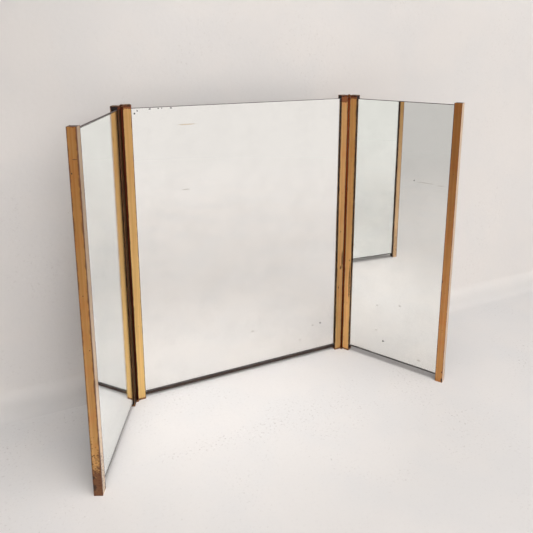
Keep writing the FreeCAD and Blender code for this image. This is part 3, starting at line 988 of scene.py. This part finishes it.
# %% Brass
FOOT_BROWN = (0.120, 0.036, 0.014, 1)
HEAD_RED = (0.175, 0.040, 0.010, 1)
EDGE_RED = (0.070, 0.013, 0.006, 1)
INSIDE_BLACK = (0.014, 0.009, 0.007, 1)
END_BROWN = (0.090, 0.045, 0.022, 1)
FRONT_COVER, SIDE_COVER, LINE_COVER, STAIN_COVER = 0.97, 0.90, 0.85, 0.90
SPOT_COVER, MARK_COVER, INSIDE_COVER, END_COVER = 0.75, 0.88, 0.95, 0.80
LOST_LINE, LOST_METAL, LOST_LACQUER = -0.8, -0.7, -0.35
ADDED_ROUGHNESS = 0.25
LACQUER = 0.4
SPECKS_FADE = 0.055


def make_brass(
    name,
    top,
    foot,
    red,
    rim_reach=0.0011,
    foot_stain=0.0,
    foot_specks=0.0,
    top_stain=0.0,
    spot_share=0.14,
    front=None,
    front_depth=EDGE_END,
    side=None,
    gloss=0.6,
    marks=(),
):
    material, tree, shader = start_material(name + "_brass")
    panel, middle, half_width, half_depth = section_of(name)
    place = panel_coordinates(tree, panel, middle)
    colour, height, streaks = brass_colour(tree, place, top, foot, red)
    parts = split(tree, place)
    lines = use_group(tree, rim, Vector=place, Half_Width=half_width, Half_Depth=half_depth, Reach=rim_reach)
    own_face = 0.0
    # Painted light and shade: a front or side tone stands in for how that face is lit and what it mirrors.
    if front:
        depth = calculate(tree, "ADD", parts["Y"], half_depth)
        own_face = spread(tree, depth, EDGE_START, front_depth, 1.0, 0.0)
        tone = blend_colours(tree, spread(tree, height, 0.10, 0.34, 0.0, 1.0), front[1], front[0])
        colour = lay(tree, colour, own_face, FRONT_COVER, tone)
    if side:
        depth = calculate(tree, "SUBTRACT", half_width, parts["X"])
        own_face = spread(tree, depth, EDGE_START, EDGE_END, 1.0, 0.0)
        colour = lay(tree, colour, own_face, SIDE_COVER, side)
        lines = times(tree, lines, calculate(tree, "MULTIPLY_ADD", own_face, LOST_LINE, 1.0))
    colour = lay(tree, colour, lines, LINE_COVER, EDGE_RED)

    foot_mask, head_mask = end_stains(tree, place, height, foot_stain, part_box(name)[1].z - top_stain)
    foot_mask = times(tree, foot_mask, one_minus(tree, own_face))
    colour = lay(tree, colour, foot_mask, STAIN_COVER, FOOT_BROWN)
    colour = lay(tree, colour, head_mask, STAIN_COVER, HEAD_RED)
    dense = spread(tree, height, foot_specks - SPECKS_FADE, foot_specks, 0.85, 0.0)
    specks = use_group(tree, spots, Vector=place, Cells=520.0, Share=dense, Radius=0.80)
    colour = lay(tree, colour, specks, SPOT_COVER, STAIN_BROWN)
    dots = use_group(tree, spots, Vector=place, Cells=230.0, Share=spot_share, Radius=0.17)
    colour = lay(tree, colour, dots, SPOT_COVER, SPOT_BLACK)
    worn = strongest(tree, foot_mask, head_mask, dots, lines)
    for mark_colour, *values in marks:
        mark = use_group(tree, blot, Vector=place, Place=values[:3], Size=values[3:], Ragged=1.1)
        colour = lay(tree, colour, mark, MARK_COVER, mark_colour)
        worn = strongest(tree, worn, mark)
    inside, cut_end = hidden_faces(tree, place, half_width, half_depth)
    colour = lay(tree, colour, inside, INSIDE_COVER, INSIDE_BLACK)
    colour = lay(tree, colour, cut_end, END_COVER, END_BROWN)
    worn = strongest(tree, worn, inside, cut_end)

    dull = spread(tree, streaks, 0.0, 1.0, 0.30, 0.42)
    lacquer = calculate(tree, "MULTIPLY_ADD", own_face, gloss, LACQUER)
    fill(
        tree,
        shader,
        Base_Color=colour,
        Metallic=calculate(tree, "MULTIPLY_ADD", worn, LOST_METAL, 1.0),
        Roughness=calculate(tree, "MULTIPLY_ADD", worn, ADDED_ROUGHNESS, dull),
        Coat_Weight=calculate(tree, "MULTIPLY_ADD", worn, LOST_LACQUER, lacquer),
        Coat_Roughness=0.12,
    )
    add_relief(tree, shader, streaks, 0.0001, 0.35)
    return material


for name, values in RAILS.items():
    dress(make_brass(name, **values), name)
print(len(RAILS), "rails in brass")

# %% [markdown]
# ## Caps, foot plates and small brass
# The caps and foot plates are handled and wiped less than the rails and are darker. Their tops are olive
# brown and their sides red brown. Faces that look up get the olive, read from the direction of the surface,
# and the same finish at other tones serves the plugs, rivets and washers.

# %% Oxidised brass
OLIVE = (0.340, 0.225, 0.110, 1)
RUST = (0.190, 0.052, 0.020, 1)
BROWN_BLACK = (0.045, 0.018, 0.009, 1)
DULL_GOLD = (0.45, 0.27, 0.10, 1)
OLD_BRASS = {
    "cap_brass": {"above": OLIVE, "beside": RUST, "dark": BROWN_BLACK, "roughness": 0.42},
    "foot_brass": {
        "above": OLIVE,
        "beside": (0.42, 0.20, 0.08, 1),
        "dark": (0.10, 0.04, 0.018, 1),
        "roughness": 0.4,
    },
    "plug_brass": {"above": (0.085, 0.050, 0.025, 1), "beside": RUST, "dark": BROWN_BLACK, "roughness": 0.5},
    "small_brass": {
        "above": DULL_GOLD,
        "beside": DULL_GOLD,
        "dark": (0.16, 0.075, 0.028, 1),
        "roughness": 0.38,
    },
}


def make_old_brass(name, above, beside, dark, roughness):
    """Above is the colour of faces that look up, beside is that of the others, and dark is the patches'."""
    material, tree, shader = start_material(name)
    up = split(tree, coordinates(tree, "Normal"))["Z"]
    colour = blend_colours(tree, spread(tree, up, 0.4, 0.8, 0.0, 1.0), beside, above)
    cloud = add_noise(tree, coordinates(tree), 190.0, 5.0, 0.65)
    patches = spread(tree, cloud, 0.38, 0.62, 0.0, 1.0)
    fill(
        tree,
        shader,
        Base_Color=blend_colours(tree, patches, dark, colour),
        Metallic=spread(tree, patches, 0.0, 1.0, 0.35, 0.85),
        Roughness=spread(tree, patches, 0.0, 1.0, roughness + 0.2, roughness),
    )
    add_relief(tree, shader, cloud, 0.0002, 0.4)
    return material


old_brass = {name: make_old_brass(name, **values) for name, values in OLD_BRASS.items()}
dress(old_brass["cap_brass"], *[name for name in nodes if "_cap" in name])
dress(old_brass["foot_brass"], *[name for name in nodes if "_foot" in name and "washer" not in name])
dress(old_brass["plug_brass"], "left_plug", "right_plug")
dress(old_brass["small_brass"], *[name for name in nodes if "rivets" in name or "washer" in name])
print(len(old_brass), "finishes for caps, foot plates, plugs, rivets and washers")

# %% [markdown]
# ## Hinge rods
# A steel rod runs down each seam. Its lacquer has gone a dark reddish brown, and it hardly shines. The left
# rod is painted darker, nearly black, as painted shade in its seam. The grain group serves once more, since
# the lacquer wears in streaks along the rod.

# %% Rods
ROD_COLOURS = {
    # Painted shade: the left rod's colours are much darker than the right rod's.
    "left_rod": ((0.016, 0.003, 0.001, 1), (0.080, 0.014, 0.005, 1)),
    "right_rod": ((0.070, 0.012, 0.003, 1), (0.190, 0.042, 0.008, 1)),
}


def make_rod_finish(name):
    material, tree, shader = start_material(name + "_lacquer")
    wear = use_group(tree, grain, Vector=coordinates(tree), Fineness=500.0, Stretch=25.0)
    tone = blend_colours(tree, wear, *ROD_COLOURS[name])
    dull = spread(tree, wear, 0.0, 1.0, 0.6, 0.8)
    fill(tree, shader, Base_Color=tone, Roughness=dull, Specular_IOR_Level=0.05)
    return material


rod_finishes = {name: make_rod_finish(name) for name in ROD_COLOURS}
for name, finish in rod_finishes.items():
    dress(finish, name)
print(len(rod_finishes), "rods")

# %% [markdown]
# Between its end fittings each rod carries a thick skin of that lacquer, a dark sleeve put in the seam as
# painted shade, so hardly any light passes beside the rod. A skin is a closed cylinder round its rod, 0.07 mm
# short of the rails beside it, and it rides with the middle panel. A thicker rod would bind in the eyes of
# the hinges, so the lacquer has a shape of its own.

# %% Lacquer skins, painted shade in the seams
SKIN_RADIUS = 0.0016
SKIN_CLEARANCE = 0.0005
SKIN_SIDES = 40


def add_shade_skin(rod, rail):
    """A lacquer skin on a rod, a dark sleeve put in its seam as painted shade. It is a little shorter than
    the rail beside it at both ends.
    """
    middle = middle_of(rod)
    low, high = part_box(rail)
    bottom, top = low.z + SKIN_CLEARANCE, high.z - SKIN_CLEARANCE
    shape = bmesh.new()
    bmesh.ops.create_cone(
        shape,
        cap_ends=True,
        segments=SKIN_SIDES,
        radius1=SKIN_RADIUS,
        radius2=SKIN_RADIUS,
        depth=top - bottom,
        matrix=Matrix.Translation((middle.x, middle.y, (bottom + top) / 2)),
    )
    for face in shape.faces:
        face.smooth = abs(face.normal.z) < 0.5
    skin = link_mesh(shape, rod + "_shade_skin")
    skin.data.materials.append(rod_finishes[rod])
    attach(skin, "middle_panel")
    print(skin.name, "is", round((top - bottom) * 1000, 1), "mm long")


add_shade_skin("left_rod", "centre_rail_left")
add_shade_skin("right_rod", "centre_rail_right")

# %% [markdown]
# ## Last look
# Every solid now has a finish of its own, and any solid whose finish has no nodes is listed.

# %% Solids without a finish
bare = [name for name in nodes if not nodes[name].data.materials[0].use_nodes]
print("solids without a finish:", bare)
